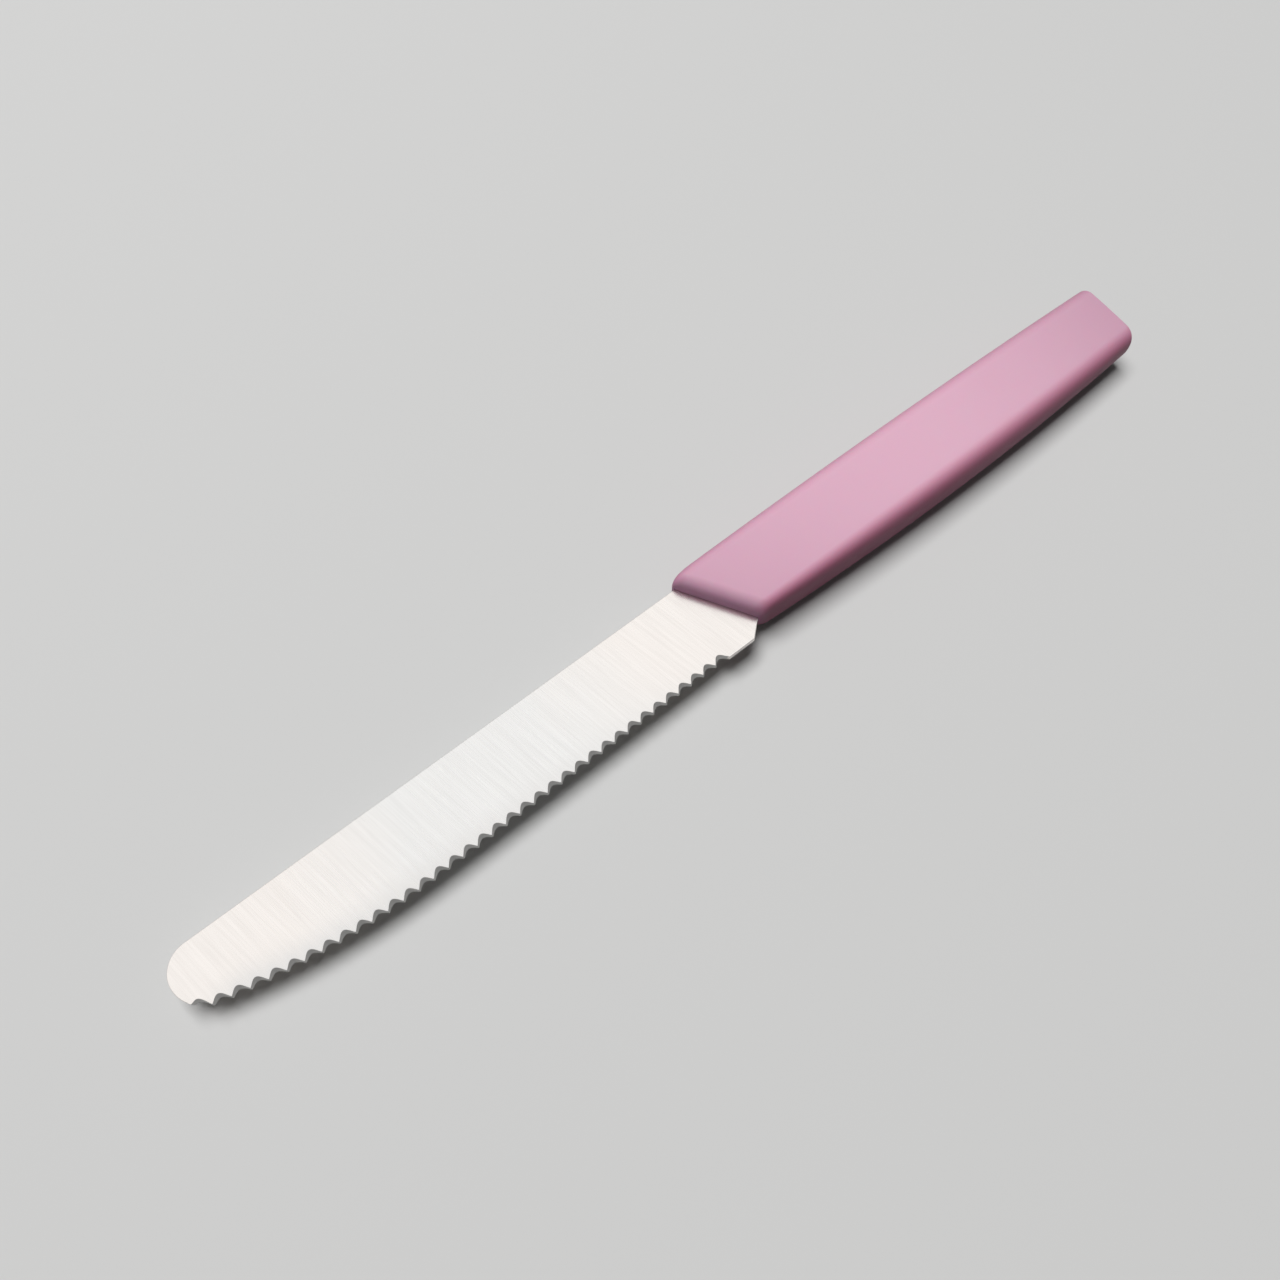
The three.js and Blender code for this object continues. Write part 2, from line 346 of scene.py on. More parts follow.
# one section across the handle: flat faces that curve down to the sides, as y, z and how far each point
# is round to a side, from 0 on a face to 1 on the edge's side and -1 on the spine's
def handleSection(along, low, high, half, band):
    sideRound = throughThree(knifeHandle["sideRounds"], along)
    turns, flats = knifeHandle["pointsPerCorner"], knifeHandle["pointsPerFlat"]
    power = knifeHandle["sidePower"]
    section = []
    for quarter, (centre, up) in enumerate(((high - sideRound, 1), (low + sideRound, 1),
                                            (low + sideRound, -1), (high - sideRound, -1))):
        for step in range(turns + 1):
            angle = (quarter + step / turns) * math.pi / 2
            sideways, rise = math.cos(angle), math.sin(angle)
            y = centre + sideRound * math.copysign(abs(sideways) ** power, sideways)
            z = up * band + (half - band) * math.copysign(abs(rise) ** power, rise)
            section.append((y, z, sideways))
        if quarter % 2 == 0:
            startY, flatZ, _ = section[-1]
            for step in range(1, flats):
                section.append((startY + (low + high - 2 * startY) * step / flats, flatZ, 0.0))
    return section


def shadeBy(paintedShade, share):
    return [1 + (value - 1) * share for value in paintedShade]


# painted shade: the colour deepens round to the sides and towards the ends; the end rounds get their own
def paintedHandleShade(along, sideways, ended):
    sidePaintedShade = knifeHandle["edgePaintedShade" if sideways > 0 else "spinePaintedShade"]
    fromLightest = 2 * (along - knifeHandle["lightest"])
    shades = (shadeBy(sidePaintedShade, abs(sideways) * (1 - ended)),
              shadeBy(knifeHandle["endPaintedShade"], fromLightest ** 2 * (1 - ended)),
              shadeBy(knifeHandle["frontPaintedShade"], ended))
    return [math.prod(values) for values in zip(*shades)] + [1.0]


# a crowned section with each point at x by its own y; ended goes to 1 at the handle's front and butt
def handleRing(along, xAt, flatter, spineIn, edgeIn, ended):
    low = spineSide(along) + spineIn
    high = edgeSide(along) - edgeIn
    middle = (low + high) / 2
    half = throughThree(knifeHandle["thicknesses"], along) / 2 - flatter
    band = throughThree(knifeHandle["sideBands"], along) / 2 * (1 - knifeHandle["bandFade"] * ended)
    ring = []
    for y, z, sideways in handleSection(along, low, high, half, band):
        fall = knifeHandle["crown"] * ((y - middle) / (high - middle)) ** 2
        ring.append((place((xAt(y), y, z * (1 - fall / half))), paintedHandleShade(along, sideways, ended)))
    return ring


def handleRings():
    rings = []
    length = knifeHandle["length"]
    front = knifeHandle["frontRound"]
    buttRounds = [knifeHandle[name] for name in ("buttRound", "buttSpineCorner", "buttEdgeCorner")]
    butt = max(buttRounds)
    steps, sections = knifeHandle["stepsPerEdge"], knifeHandle["sectionsAlong"]
    for step in range(steps):
        depth = front * (1 - math.cos(step / steps * math.pi / 2))
        ended = drawnIn(front, depth) / front
        rings.append(handleRing(depth / length, lambda y: frontX(y) - depth * slantStretch,
                                knifeHandle["frontRoundDrop"] * ended, spineCorner(depth),
                                drawnIn(knifeHandle["frontEdgeCorner"], depth), ended))
    for step in range(sections + 1):
        share = step / sections
        depth = front + (length - butt - front) * share
        rings.append(handleRing(depth / length, lambda y: (1 - share) * (frontX(y) - front * slantStretch)
                                + share * (buttX(y) + butt), 0.0, spineCorner(depth), 0.0, 0.0))
    for step in reversed(range(steps)):
        depth = butt * (1 - math.cos(step / steps * math.pi / 2))
        insets = [drawnIn(radius, depth) for radius in buttRounds]
        rings.append(handleRing(1 - depth / length, lambda y: buttX(y) + depth, *insets,
                                drawnIn(butt, depth) / butt))
    return rings


def makeHandlePlastic():
    material, tree, shader, coordinates = newFinish("satinPlastic", {
        "IOR": knifeHandle["refraction"],
        "Specular IOR Level": knifeHandle["specularLevel"],
        "Subsurface Weight": knifeHandle["subsurface"],
        "Subsurface Radius": knifeHandle["subsurfaceRadius"],
        "Subsurface Scale": knifeHandle["subsurfaceScale"] * mm,
    })
    marks = useGroup(tree, faintMarks, {
        "Vector": coordinates,
        "Patches per Metre": knifeHandle["patchesPerMetre"],
        "Grains per Metre": knifeHandle["grainsPerMetre"],
    })
    patches = remap(tree, marks["Drift"], *knifeHandle["driftSpread"], 0.0, 1.0)
    colour = mixColour(tree, patches, knifeHandle["colourDeep"], knifeHandle["colour"])
    # the painted shade of sides, ends and end rounds multiplies the plastic's colour
    paintedShade = addNode(tree, "ShaderNodeAttribute", attribute_name="paintedShade").outputs["Color"]
    plug(tree, mixColour(tree, 1.0, colour, paintedShade, "MULTIPLY"), shader.inputs["Base Color"])
    drift = knifeHandle["roughDrift"]
    roughness = calc(tree, "ADD", spreadNoise(tree, marks["Grain"], *knifeHandle["roughness"]),
                     spreadNoise(tree, marks["Drift"], -drift, drift))
    plug(tree, roughness, shader.inputs["Roughness"])
    addBump(tree, shader, marks["Grain"], knifeHandle["grainDepth"], knifeHandle["grainStrength"])
    return material


def makeHandle():
    rings = handleRings()
    size = len(rings[0])
    vertices = [point for ring in rings for point, _ in ring]
    shades = [value for ring in rings for _, paintedShade in ring for value in paintedShade]
    faces = []
    for start in range(0, len(vertices) - size, size):
        for j in range(size):
            here, following = start + j, start + (j + 1) % size
            faces.append((here, here + size, following + size, following))
    faces.append(tuple(range(size)))
    faces.append(tuple(range(len(vertices) - size, len(vertices))))
    mesh = bpy.data.meshes.new("handlePlastic")
    mesh.from_pydata(vertices, [], faces)
    mesh.attributes.new("paintedShade", "FLOAT_COLOR", "POINT").data.foreach_set("color", shades)
    mesh.materials.append(makeHandlePlastic())
    smoothMesh(mesh, knifeHandle["sharpAngle"])
    piece = bpy.data.objects.new("handlePlastic", mesh)
    scene.collection.objects.link(piece)
    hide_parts("handle")
    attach(piece, "root")
    return piece


# blade: mm, degrees and plain numbers
knifeBlade = {
    "width": 16.5,  # from the spine to the tooth tips
    "stock": 1.1,
    "noseSpineRadius": 4.9,
    "sweepLength": 41.8,  # the stretch up to the nose where the edge curves
    "sweepRadius": 135.0,
    "heelProud": 0.4,  # beyond the tooth tips
    "heelInset": 0.6,  # in from the handle's edge side
    "heelChamferRun": 3.1,
    "heelFlatLength": 5.9,
    "heelDrop": 0.2,  # along the blade, from the heel to the first tip
    "seatGap": 0.3,  # from the handle's front to the heel
    "rootInHandle": 1.4,
    "rootTuck": 0.8,
    "rimRound": 0.12,
    "mitreLimit": 0.4,  # a lower one lets a corner's rim reach farther in
    "toothPitch": 2.88,
    "toothCount": 36,
    "toothDepthUpper": 1.29,
    "toothDepthLower": 0.87,
    "toothSharpness": 1.15,  # 1 gives round scallops and sharp tips, 2 an even wave
    "lastToothShort": 0.25,
    "toothRim": 0.03,
    "toothLip": 0.2,  # underside beyond the upper side
    "underRise": 0.35,  # ground off the underside along the teeth
    "stepsPerTooth": 24,
    "stepsPerNoseArc": 28,
    "bevelWidthHeel": 2.8,
    "bevelWidthNose": 4.8,
    "bevelDrop": 0.1,
    "bevelRunout": 9.0,
    "bevelRows": ((0.62, 0.38), (0.85, 0.15), (1.0, 0.03), (1.15, 0.0)),  # part of the width, drop left
    "sharpAngle": 24.0,
    "faceLight": (0.92, 0.912, 0.896, 1.0),
    "faceDark": (0.85, 0.842, 0.826, 1.0),
    # partly the ground steel's own duller tone and partly painted shade for the dim reflection in the
    # scallops
    "groundShadedLight": (0.52, 0.515, 0.505, 1.0),
    "groundShadedDark": (0.42, 0.415, 0.405, 1.0),
    # partly the bevel's own grind and partly painted shade: the bevel strip is coloured a little darker
    "bevelShadedColour": (0.82, 0.805, 0.79, 1.0),
    "pitColour": (0.25, 0.24, 0.22, 1.0),
    # painted shade where the steel goes into the handle
    "seamShadeColour": (0.3, 0.25, 0.22, 1.0),
    "seamShadeWidth": 0.6,
    "seamShadeStrength": 0.75,
    # painted reflection: a warmer, lighter tint towards the handle and the nose
    "warmReflectionTint": (1.08, 1.03, 1.0, 1.0),  # multiplies the colour
    "warmStrength": 0.9,
    "warmDrift": 6.0,
    "warmHalf": 36.0,  # full warmth from here on, either side of the cool middle
    "coolHalf": 18.0,
    "coolMiddle": 55.0,
    "brushLean": -10.6,
    "brushLinesPerMetre": 4200.0,
    "brushLineLength": 14.0,
    "brushDepth": 0.004,
    "brushStrength": 0.07,
    "groundTurn": 90.0,  # stands the lines up on the edge
    "groundLinesPerMetre": 9000.0,
    "groundLineLength": 3.0,
    "groundDepth": 0.01,
    "groundStrength": 0.3,
    "patchesPerMetre": 22.0,
    "groundPatchesPerMetre": 300.0,
    "pitsPerMetre": 55.0,
    "faceRoughness": (0.24, 0.28),
    "groundRoughness": (0.5, 0.6),
    "roughDrift": 0.03,
}

# cutting side of the plain blank: straight, then an arc up, then the nose's own arc
noseLevel = knifeBlade["noseSpineRadius"]
sweepRadius = knifeBlade["sweepRadius"]
sweepStart = noseX - knifeBlade["sweepLength"]
sweepCentre = knifeBlade["width"] - sweepRadius
noseRadius = ((sweepRadius ** 2 - knifeBlade["sweepLength"] ** 2 - (noseLevel - sweepCentre) ** 2)
              / (2 * (sweepRadius - knifeBlade["sweepLength"])))
noseCentre = noseX - noseRadius
noseJoin = sweepStart + sweepRadius * (noseCentre - sweepStart) / (sweepRadius - noseRadius)


def blankEdge(x):
    if x <= sweepStart:
        return knifeBlade["width"]
    if x <= noseJoin:
        return sweepCentre + math.sqrt(sweepRadius ** 2 - (x - sweepStart) ** 2)
    return noseLevel + math.sqrt(noseRadius ** 2 - (x - noseCentre) ** 2)


heelEnd = edgeSide(0) - knifeBlade["heelInset"]
heelStart = frontX(heelEnd) + knifeBlade["seatGap"] * slantStretch
flatStart = heelStart + knifeBlade["heelChamferRun"]
flatEnd = flatStart + knifeBlade["heelFlatLength"]
firstTip = flatEnd + knifeBlade["heelDrop"]
lastTip = firstTip + knifeBlade["toothCount"] * knifeBlade["toothPitch"]


# the blank's outline from the root round by the teeth, the nose and the spine; True marks the teeth
def bladeOutline():
    heelLine = knifeBlade["width"] + knifeBlade["heelProud"]
    rootEnd = heelEnd - knifeBlade["rootTuck"]
    points = [(frontX(rootEnd) - knifeBlade["rootInHandle"], rootEnd, False), (heelStart, heelEnd, False),
              (flatStart, heelLine, False), (flatEnd, heelLine, False)]
    steps = knifeBlade["toothCount"] * knifeBlade["stepsPerTooth"]
    for step in range(steps + 1):
        x = firstTip + (lastTip - firstTip) * step / steps
        points.append((x, blankEdge(x), True))
    startAngle = math.acos((lastTip - noseCentre) / noseRadius)
    arcSteps = knifeBlade["stepsPerNoseArc"]
    for centre, radius, start, end in ((noseCentre, noseRadius, startAngle, 0.0),
                                       (noseX - noseLevel, noseLevel, 0.0, -math.pi / 2)):
        for step in range(1, arcSteps + 1):
            angle = start + (end - start) * step / arcSteps
            points.append((centre + radius * math.cos(angle), noseLevel + radius * math.sin(angle), False))
    points.append((frontX(0) - knifeBlade["rootInHandle"], 0.0, False))
    return points


# the step inwards from a point of the outline that brings both its sides in by 1 mm
def inwardAt(points, i):
    before, here, after = points[i - 1], points[i], points[(i + 1) % len(points)]
    sides = []
    for start, end in ((before, here), (here, after)):
        step = Vector((end[0] - start[0], end[1] - start[1])).normalized()
        sides.append(Vector((step.y, -step.x)))
    middle = (sides[0] + sides[1]).normalized()
    return middle / max(middle.dot(sides[0]), knifeBlade["mitreLimit"])


# from 0 at the first tip to 1 where the edge begins to curve
def bevelRise(x):
    return clamp((x - firstTip) / (sweepStart - firstTip))


# from 1 along the teeth to 0 at the last tip
def bevelFall(x):
    return clamp((lastTip - x) / knifeBlade["bevelRunout"])


def bevelShare(x):
    fall = bevelFall(x)
    return bevelRise(x) * fall * fall * (3 - 2 * fall)


def bevelWidth(x):
    heel, nose = knifeBlade["bevelWidthHeel"], knifeBlade["bevelWidthNose"]
    return heel + (nose - heel) * bevelRise(x) * bevelFall(x)


# the underside is ground thinner all along the teeth, and fades out over the first and the last tooth
def underShare(x):
    return clamp(min(x - firstTip, lastTip - x) / knifeBlade["toothPitch"])


# the last scallop runs out short of a whole pitch, where the nose turns away
def scallopShare(x):
    pitch = knifeBlade["toothPitch"]
    along = (x - lastTip) / pitch + 1
    if along <= 0 or along >= 1:
        return 1.0
    squeezed = min(along * pitch / (pitch - knifeBlade["lastToothShort"]), 1)
    return (math.sin(math.pi * squeezed) / math.sin(math.pi * along)) ** knifeBlade["toothSharpness"]


# walls between the rings, strips of the bevel along the teeth, and one flat panel on each side,
# with True for each face that the grinding leaves
def bladeFaces(outline, rings, rows):
    faces, groundFaces = [], []
    count = len(outline)
    toothed = [i for i in range(count) if outline[i][2]]
    upwards = list(rings.values())
    for i in range(count):
        following = (i + 1) % count
        isGround = outline[i][2] and outline[following][2]
        for lower, upper in zip(upwards, upwards[1:]):
            faces.append((lower[i], upper[i], upper[following], lower[following]))
            groundFaces.append(isGround)
    for ringName, ringRows in rows.items():
        ring = rings[ringName]
        lines = [[ring[i]] + row for i, row in zip(toothed, ringRows)]
        for line, following in zip(lines, lines[1:]):
            for j in range(len(line) - 1):
                faces.append((line[j], following[j], following[j + 1], line[j + 1]))
                groundFaces.append(False)
        panel = ring[:toothed[0]] + lines[0][:-1] + [line[-1] for line in lines]
        panel += lines[-1][-2::-1] + ring[toothed[-1] + 1:]
        faces.append(tuple(panel))
        groundFaces.append(False)
    return faces, groundFaces


# the ground blank before its scallops are cut; the tree below cuts them
def makeBladeBlank():
    outline = bladeOutline()
    half = knifeBlade["stock"] / 2
    vertices, depths, tones = [], [], []

    def addVertex(x, y, z, depth=0.0, tone=0.0):
        vertices.append(place((x, y, z)))
        depths.append(depth * mm)
        tones.append(tone)
        return len(vertices) - 1

    rings = {name: [] for name in ("lowerFace", "lowerRim", "upperRim", "upperFace")}
    rows = {"upperFace": [], "lowerFace": []}
    for i, (x, y, isTooth) in enumerate(outline):
        rim = knifeBlade["toothRim"] if isTooth else knifeBlade["rimRound"]
        inner = Vector((x, y)) + inwardAt(outline, i) * rim
        share = bevelShare(x) if isTooth else 0.0
        cut = scallopShare(x) if isTooth else 0.0
        thinned = underShare(x) if isTooth else 0.0
        drop = knifeBlade["bevelDrop"] * share
        lowerDepth = knifeBlade["toothDepthLower"] * cut
        upperDepth = knifeBlade["toothDepthUpper"] * cut
        lip = knifeBlade["toothLip"] * thinned
        underside = knifeBlade["underRise"] * thinned - half
        rings["lowerFace"].append(addVertex(inner.x, inner.y + lip, underside, lowerDepth))
        rings["lowerRim"].append(addVertex(x, y + lip, underside + rim, lowerDepth))
        rings["upperRim"].append(addVertex(x, y, half - rim - drop, upperDepth))
        rings["upperFace"].append(addVertex(inner.x, inner.y, half - drop, upperDepth, share))
        if isTooth:
            wide = bevelWidth(x)
            rows["upperFace"].append([addVertex(x, y - wide * part, half - drop * left, tone=share * left)
                                      for part, left in knifeBlade["bevelRows"]])
            rows["lowerFace"].append([addVertex(x, y - wide, -half)])
    faces, groundFaces = bladeFaces(outline, rings, rows)
    mesh = bpy.data.meshes.new("bladeBlank")
    mesh.from_pydata(vertices, [], faces)
    mesh.attributes.new("grindDepth", "FLOAT", "POINT").data.foreach_set("value", depths)
    mesh.attributes.new("bevelShadeTone", "FLOAT", "POINT").data.foreach_set("value", tones)
    mesh.attributes.new("groundFace", "BOOLEAN", "FACE").data.foreach_set("value", groundFaces)
    return mesh


# painted shade, a dark line where the steel goes into the handle, by distance in front of the handle's
# slanted front
def seamShadeMask(tree, coordinates):
    slant = math.radians(knifeHandle["frontSlant"])
    ahead = Vector((math.cos(slant), math.sin(slant), 0.0))
    distance = addNode(tree, "ShaderNodeVectorMath", operation="DOT_PRODUCT")
    plug(tree, coordinates, distance.inputs[0])
    plug(tree, ahead, distance.inputs[1])
    front = ahead.dot(Vector(place((0.0, frontMiddle, 0.0))))
    clear = front + knifeBlade["seamShadeWidth"] * mm
    return remap(tree, distance.outputs["Value"], front, clear, knifeBlade["seamShadeStrength"], 0.0)


# painted reflection: warmer and lighter steel towards the handle and the nose than in the middle, with a
# little drift
def warmReflectionMask(tree, coordinates, drift):
    position = addNode(tree, "ShaderNodeSeparateXYZ")
    plug(tree, coordinates, position.inputs[0])
    middle = place((knifeBlade["coolMiddle"], 0.0, 0.0))[0]
    distance = calc(tree, "ABSOLUTE", calc(tree, "SUBTRACT", position.outputs["X"], middle))
    wander = knifeBlade["warmDrift"] * mm
    distance = calc(tree, "ADD", distance, spreadNoise(tree, drift, -wander, wander))
    return remap(tree, distance, knifeBlade["coolHalf"] * mm, knifeBlade["warmHalf"] * mm,
                 0.0, knifeBlade["warmStrength"])


def makeFaceSteel():
    material, tree, shader, coordinates = newFinish("brushedSteel", {"Metallic": 1.0})
    brushed = useGroup(tree, brushLines, {
        "Vector": turnCoordinates(tree, coordinates, (0.0, 0.0, knifeBlade["brushLean"])),
        "Lines per Metre": knifeBlade["brushLinesPerMetre"],
        "Line Length": knifeBlade["brushLineLength"] * mm,
    })
    marks = useGroup(tree, faintMarks, {
        "Vector": coordinates,
        "Patches per Metre": knifeBlade["patchesPerMetre"],
        "Pits per Metre": knifeBlade["pitsPerMetre"],
    })
    colour = useGroup(tree, steelTone, {
        "First Noise": brushed["Bands"],
        "Second Noise": brushed["Lines"],
        "Dark": knifeBlade["faceDark"],
        "Light": knifeBlade["faceLight"],
    })["Colour"]
    warmth = warmReflectionMask(tree, coordinates, marks["Drift"])
    colour = mixColour(tree, warmth, colour, knifeBlade["warmReflectionTint"], "MULTIPLY")
    # partly the bevel's own grind and partly painted shade, darker along the bevel
    bevelShadeTone = addNode(tree, "ShaderNodeAttribute", attribute_name="bevelShadeTone").outputs["Fac"]
    colour = mixColour(tree, bevelShadeTone, colour, knifeBlade["bevelShadedColour"])
    colour = mixColour(tree, marks["Pits"], colour, knifeBlade["pitColour"])
    colour = mixColour(tree, seamShadeMask(tree, coordinates), colour, knifeBlade["seamShadeColour"])
    plug(tree, colour, shader.inputs["Base Color"])
    drift = knifeBlade["roughDrift"]
    roughness = calc(tree, "ADD", spreadNoise(tree, brushed["Lines"], *knifeBlade["faceRoughness"]),
                     spreadNoise(tree, marks["Drift"], -drift, drift))
    plug(tree, roughness, shader.inputs["Roughness"])
    addBump(tree, shader, brushed["Height"], knifeBlade["brushDepth"], knifeBlade["brushStrength"])
    return material


# steel of the scallops, its colour darkened partly as painted shade
def makeGroundSteel():
    material, tree, shader, coordinates = newFinish("groundSteel", {"Metallic": 1.0})
    brushed = useGroup(tree, brushLines, {
        "Vector": turnCoordinates(tree, coordinates, (knifeBlade["groundTurn"], 0.0, 0.0)),
        "Lines per Metre": knifeBlade["groundLinesPerMetre"],
        "Line Length": knifeBlade["groundLineLength"] * mm,
    })
    marks = useGroup(tree, faintMarks, {
        "Vector": coordinates,
        "Patches per Metre": knifeBlade["groundPatchesPerMetre"],
    })
    colour = useGroup(tree, steelTone, {
        "First Noise": marks["Drift"],
        "Second Noise": brushed["Lines"],
        "Dark": knifeBlade["groundShadedDark"],
        "Light": knifeBlade["groundShadedLight"],
    })["Colour"]
    plug(tree, colour, shader.inputs["Base Color"])
    roughness = spreadNoise(tree, brushed["Lines"], *knifeBlade["groundRoughness"])
    plug(tree, roughness, shader.inputs["Roughness"])
    addBump(tree, shader, brushed["Height"], knifeBlade["groundDepth"], knifeBlade["groundStrength"])
    return material


# cuts the scallops: each marked point moves in from the edge by its own depth, along a repeating wave
def makeScallopTree():
    tree = bpy.data.node_groups.new("scallopGrind", "GeometryNodeTree")
    wanted = [("Blank", "NodeSocketGeometry"), ("First Tip", "NodeSocketFloat"),
              ("Tooth Pitch", "NodeSocketFloat"), ("Sharpness", "NodeSocketFloat"),
              ("Face Steel", "NodeSocketMaterial"), ("Ground Steel", "NodeSocketMaterial")]
    for name, kind in wanted:
        tree.interface.new_socket(name, in_out="INPUT", socket_type=kind)
    tree.interface.new_socket("Blade", in_out="OUTPUT", socket_type="NodeSocketGeometry")
    given = tree.nodes.new("NodeGroupInput").outputs
    made = tree.nodes.new("NodeGroupOutput").inputs
    position = addNode(tree, "ShaderNodeSeparateXYZ")
    plug(tree, tree.nodes.new("GeometryNodeInputPosition").outputs[0], position.inputs[0])
    turn = calc(tree, "DIVIDE", calc(tree, "SUBTRACT", position.outputs["X"], given["First Tip"]),
                given["Tooth Pitch"])
    wave = calc(tree, "ABSOLUTE", calc(tree, "SINE", calc(tree, "MULTIPLY", turn, math.pi)))
    scallop = calc(tree, "POWER", wave, given["Sharpness"])
    depth = addNode(tree, "GeometryNodeInputNamedAttribute", {"Name": "grindDepth"}, data_type="FLOAT")
    cut = calc(tree, "MULTIPLY", calc(tree, "MULTIPLY", depth.outputs["Attribute"], scallop), -1.0)
    shift = addNode(tree, "ShaderNodeCombineXYZ")
    plug(tree, cut, shift.inputs["Y"])
    moved = addNode(tree, "GeometryNodeSetPosition")
    plug(tree, given["Blank"], moved.inputs["Geometry"])
    plug(tree, shift.outputs[0], moved.inputs["Offset"])
    realized = addNode(tree, "GeometryNodeRealizeInstances")
    plug(tree, moved.outputs[0], realized.inputs[0])
    faced = addNode(tree, "GeometryNodeSetMaterial")
    plug(tree, realized.outputs[0], faced.inputs["Geometry"])
    plug(tree, given["Face Steel"], faced.inputs["Material"])
    isGround = addNode(tree, "GeometryNodeInputNamedAttribute", {"Name": "groundFace"},
                       data_type="BOOLEAN")
    grounded = addNode(tree, "GeometryNodeSetMaterial")
    plug(tree, faced.outputs[0], grounded.inputs["Geometry"])
    plug(tree, isGround.outputs["Attribute"], grounded.inputs["Selection"])
    plug(tree, given["Ground Steel"], grounded.inputs["Material"])
    plug(tree, grounded.outputs[0], made["Blade"])
    return tree


def setInput(modifier, name, value):
    for item in modifier.node_group.interface.items_tree:
        if item.in_out == "INPUT" and item.name == name:
            modifier[item.identifier] = value


def makeBlade():
    piece = bpy.data.objects.new("bladeSteel", makeBladeBlank())
    scene.collection.objects.link(piece)
    modifier = piece.modifiers.new("scallops", "NODES")
    modifier.node_group = makeScallopTree()
    setInput(modifier, "First Tip", drawingOrigin[0] + firstTip * mm)
    setInput(modifier, "Tooth Pitch", knifeBlade["toothPitch"] * mm)
    setInput(modifier, "Sharpness", knifeBlade["toothSharpness"])
    setInput(modifier, "Face Steel", makeFaceSteel())
    setInput(modifier, "Ground Steel", makeGroundSteel())
    depsgraph = bpy.context.evaluated_depsgraph_get()
    finished = bpy.data.meshes.new_from_object(piece.evaluated_get(depsgraph),
                                               preserve_all_data_layers=True, depsgraph=depsgraph)
    piece.modifiers.remove(modifier)
    piece.data = finished
    smoothMesh(finished, knifeBlade["sharpAngle"])
    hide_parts("blade")
    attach(piece, "root")
    return piece


bladePiece = makeBlade()
print("blade ground:", len(bladePiece.data.polygons), "faces")
handlePiece = makeHandle()
print("handle moulded:", len(handlePiece.data.polygons), "faces")

# floor and light, in metres, watts and plain numbers; the knife lies on the handle's belly,
# with the blade clear of the floor
stageSet = {
    "floorRadius": 1.6,
    "floorCorners": 96,
    "floorSeen": (0.6, 0.6, 0.595, 1.0),
    "floorBounce": (0.06, 0.06, 0.06, 1.0),
    "floorRoughness": 0.9,
    "floorSpecular": 0.2,
    "skySeen": (0.85, 0.85, 0.85, 1.0),
    "skyFar": 0.42,
    "skyBright": 1.15,
    "brightFrom": (-0.15, -0.36, 0.92),
    "brightSpread": (0.3, 0.85),  # how nearly a ray goes there, from the far sky to the bright one
    "skyFill": 0.065,
    "skyFillColour": (1.0, 1.0, 1.0, 1.0),
    "keyWatts": 43.6,
    "keySize": 1.1,
    "keyFrom": (0.03, -0.24, 0.97),
    "keyDistance": 2.0,
}


def seenRays(tree):
    rays = addNode(tree, "ShaderNodeLightPath").outputs
    seen = calc(tree, "MAXIMUM", rays["Is Camera Ray"], rays["Is Glossy Ray"])
    return calc(tree, "MAXIMUM", seen, rays["Is Transmission Ray"])


# the floor looks pale but throws little light back at the knife
def makeFloor():
    count, radius = stageSet["floorCorners"], stageSet["floorRadius"]
    angles = [2 * math.pi * i / count for i in range(count)]
    corners = [(radius * math.cos(angle), radius * math.sin(angle), 0.0) for angle in angles]
    mesh = bpy.data.meshes.new("floor")
    mesh.from_pydata(corners, [], [tuple(range(count))])
    floor = bpy.data.objects.new("floor", mesh)
    scene.collection.objects.link(floor)
    material, tree, shader, _ = newFinish("paleFloor", {
        "Roughness": stageSet["floorRoughness"],
        "Specular IOR Level": stageSet["floorSpecular"],
    })
    plug(tree, mixColour(tree, seenRays(tree), stageSet["floorBounce"], stageSet["floorSeen"]),
         shader.inputs["Base Color"])
    mesh.materials.append(material)


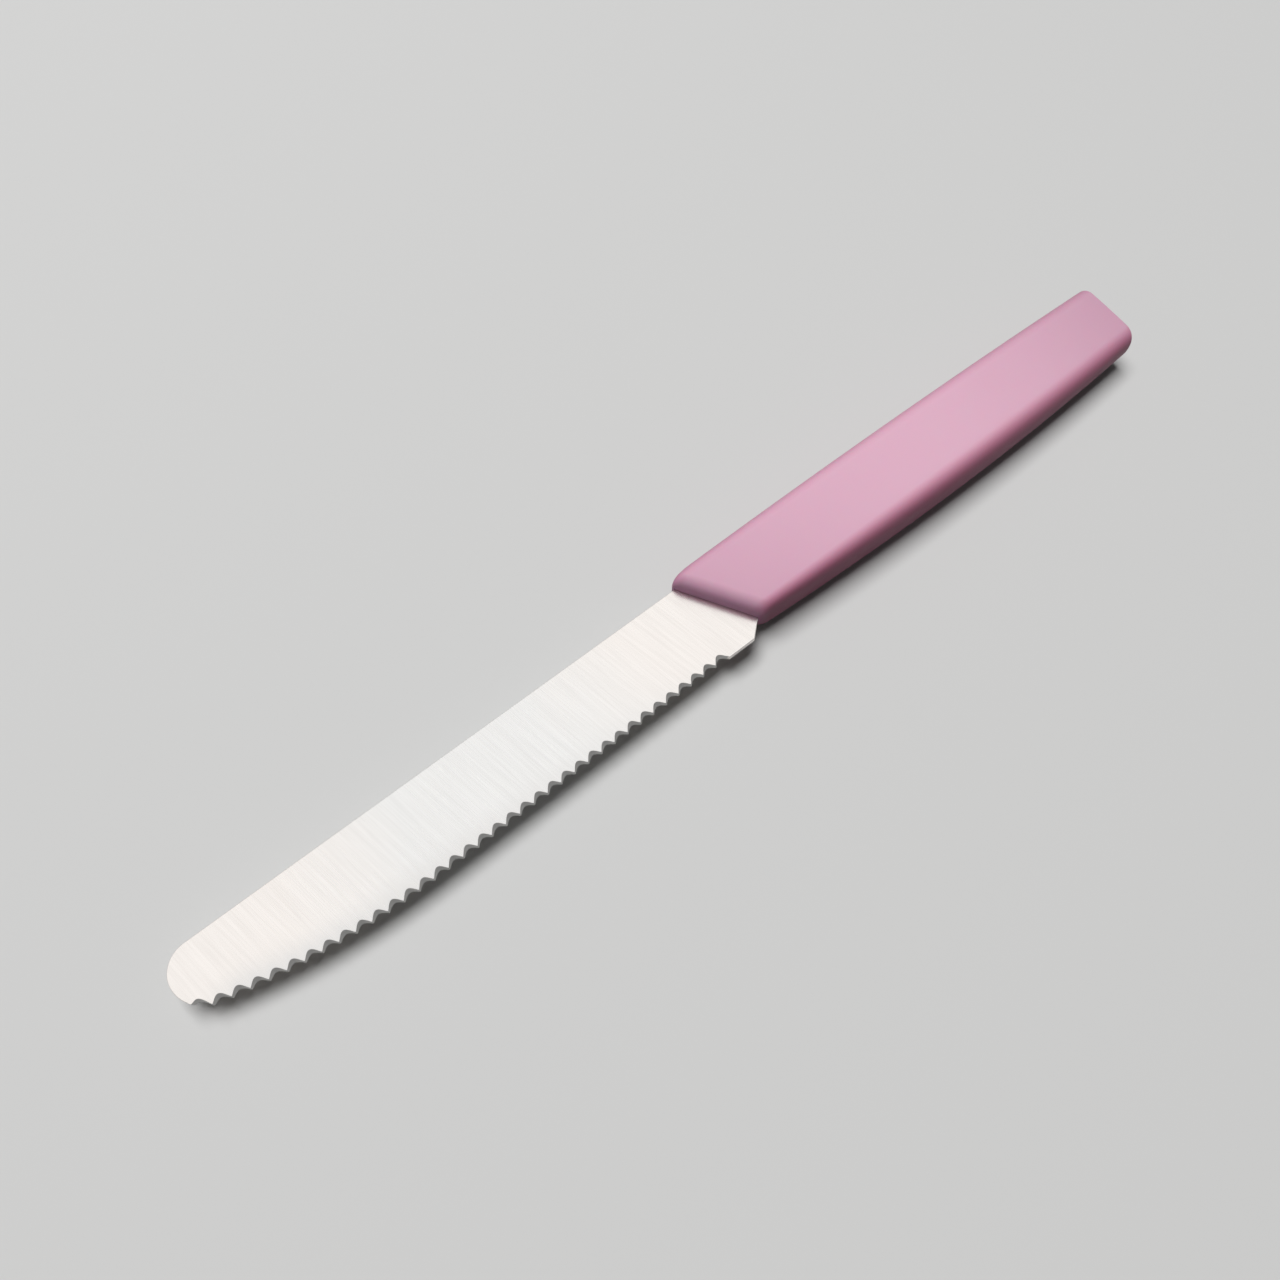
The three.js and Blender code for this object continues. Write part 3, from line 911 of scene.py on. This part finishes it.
# what is seen or mirrored is a pale sky, brighter on one side; what lights the knife is a faint fill
def makeSky():
    world = bpy.data.worlds.new("softRoom")
    scene.world = world
    world.use_nodes = True
    tree = world.node_tree
    fill = tree.nodes["Background"]
    fill.inputs["Color"].default_value = stageSet["skyFillColour"]
    fill.inputs["Strength"].default_value = stageSet["skyFill"]
    pale = addNode(tree, "ShaderNodeBackground", {"Color": stageSet["skySeen"]})
    facing = addNode(tree, "ShaderNodeVectorMath", operation="DOT_PRODUCT")
    plug(tree, addNode(tree, "ShaderNodeTexCoord").outputs["Generated"], facing.inputs[0])
    plug(tree, Vector(stageSet["brightFrom"]).normalized(), facing.inputs[1])
    glow = remap(tree, facing.outputs["Value"], *stageSet["brightSpread"],
                 stageSet["skyFar"], stageSet["skyBright"])
    isCamera = addNode(tree, "ShaderNodeLightPath").outputs["Is Camera Ray"]
    plug(tree, calc(tree, "MAXIMUM", glow, isCamera), pale.inputs["Strength"])
    both = addNode(tree, "ShaderNodeMixShader")
    plug(tree, seenRays(tree), both.inputs[0])
    plug(tree, fill.outputs[0], both.inputs[1])
    plug(tree, pale.outputs[0], both.inputs[2])
    plug(tree, both.outputs[0], tree.nodes["World Output"].inputs["Surface"])


def makeSoftbox():
    lamp = bpy.data.lights.new("keySoftbox", "AREA")
    lamp.energy = stageSet["keyWatts"]
    lamp.size = stageSet["keySize"]
    softbox = bpy.data.objects.new("keySoftbox", lamp)
    scene.collection.objects.link(softbox)
    towards = Vector(stageSet["keyFrom"]).normalized()
    softbox.location = towards * stageSet["keyDistance"]
    softbox.rotation_euler = towards.to_track_quat("Z", "Y").to_euler()
    softbox.visible_glossy = False


makeFloor()
makeSky()
makeSoftbox()
print("floor and light ready")

# camera, set to the photograph's view, in mm; its place is in the drawing
photoCamera = {
    "place": (62.85, 63.07, 162.89),
    "right": (-0.7795, 0.6266, 0.0),
    "up": (-0.5679, -0.7065, 0.4226),
    "lens": 27.79,
    "sensor": 36.0,
    "clipStart": 5.0,
}


def makeCamera():
    data = bpy.data.cameras.new("photoCamera")
    data.lens = photoCamera["lens"]
    data.sensor_width = photoCamera["sensor"]
    data.clip_start = photoCamera["clipStart"] * mm
    camera = bpy.data.objects.new("photoCamera", data)
    scene.collection.objects.link(camera)
    right = Vector(photoCamera["right"]).normalized()
    back = right.cross(Vector(photoCamera["up"])).normalized()
    turn = Matrix((right, back.cross(right), back)).transposed()
    camera.matrix_world = Matrix.Translation(Vector(place(photoCamera["place"]))) @ turn.to_4x4()
    scene.camera = camera


makeCamera()
print("camera set")
